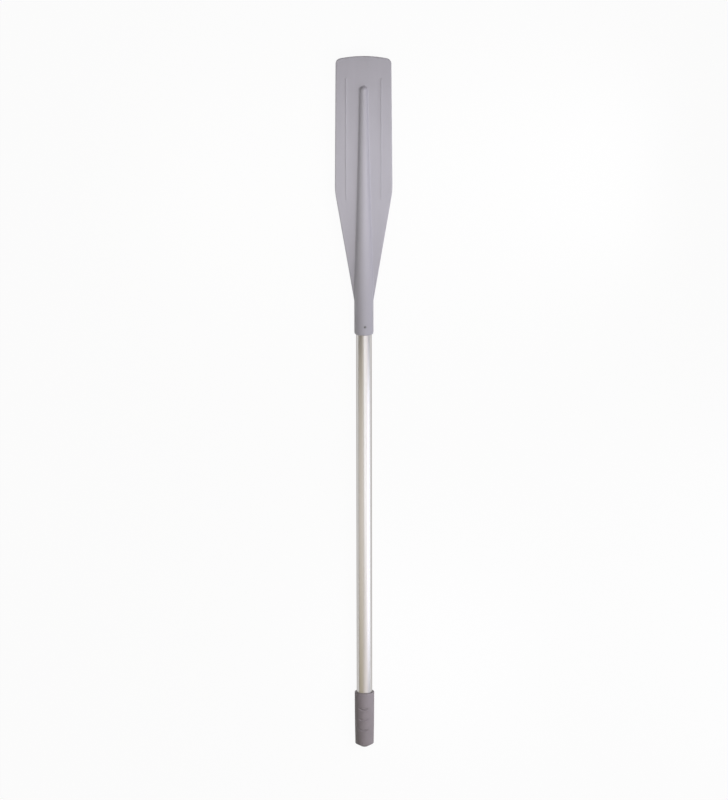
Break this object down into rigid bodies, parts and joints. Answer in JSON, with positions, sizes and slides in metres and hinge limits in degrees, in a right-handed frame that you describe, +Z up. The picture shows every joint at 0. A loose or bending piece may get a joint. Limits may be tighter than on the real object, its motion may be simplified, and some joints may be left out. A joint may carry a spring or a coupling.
{
  "type": "rowing oar",
  "caption": "Rowing oar: a flat moulded blade with a tapering spine and socket, riveted to a round aluminium tube with a closed-end hand grip.",
  "frame": {"origin": "centre of the bounding box on the floor plane, with the oar lying flat on its socket and grip", "axes": "+Y along the oar from the grip to the blade's tip, +Z up out of the blade's pictured face, +X across the blade"},
  "size_m": [0.1442, 1.8, 0.0503],
  "materials": {
    "blade": "satin moulded polypropylene, light warm grey",
    "shaft_tube": "drawn and anodised, satin",
    "grip": "soft moulded PVC, matt dark grey",
    "rivet_body": "dull, weathered",
    "rivet_mandrel": "dull",
    "end_plug": "moulded polyethylene, black"
  },
  "bodies": {
    "root": {"blade": "blade", "shaft_tube": "shaft_tube", "grip": "grip", "rivet_body": "rivet_body", "rivet_mandrel": "rivet_mandrel", "blade_end_plug": "end_plug", "grip_end_plug": "end_plug"}
  },
  "joints": []
}
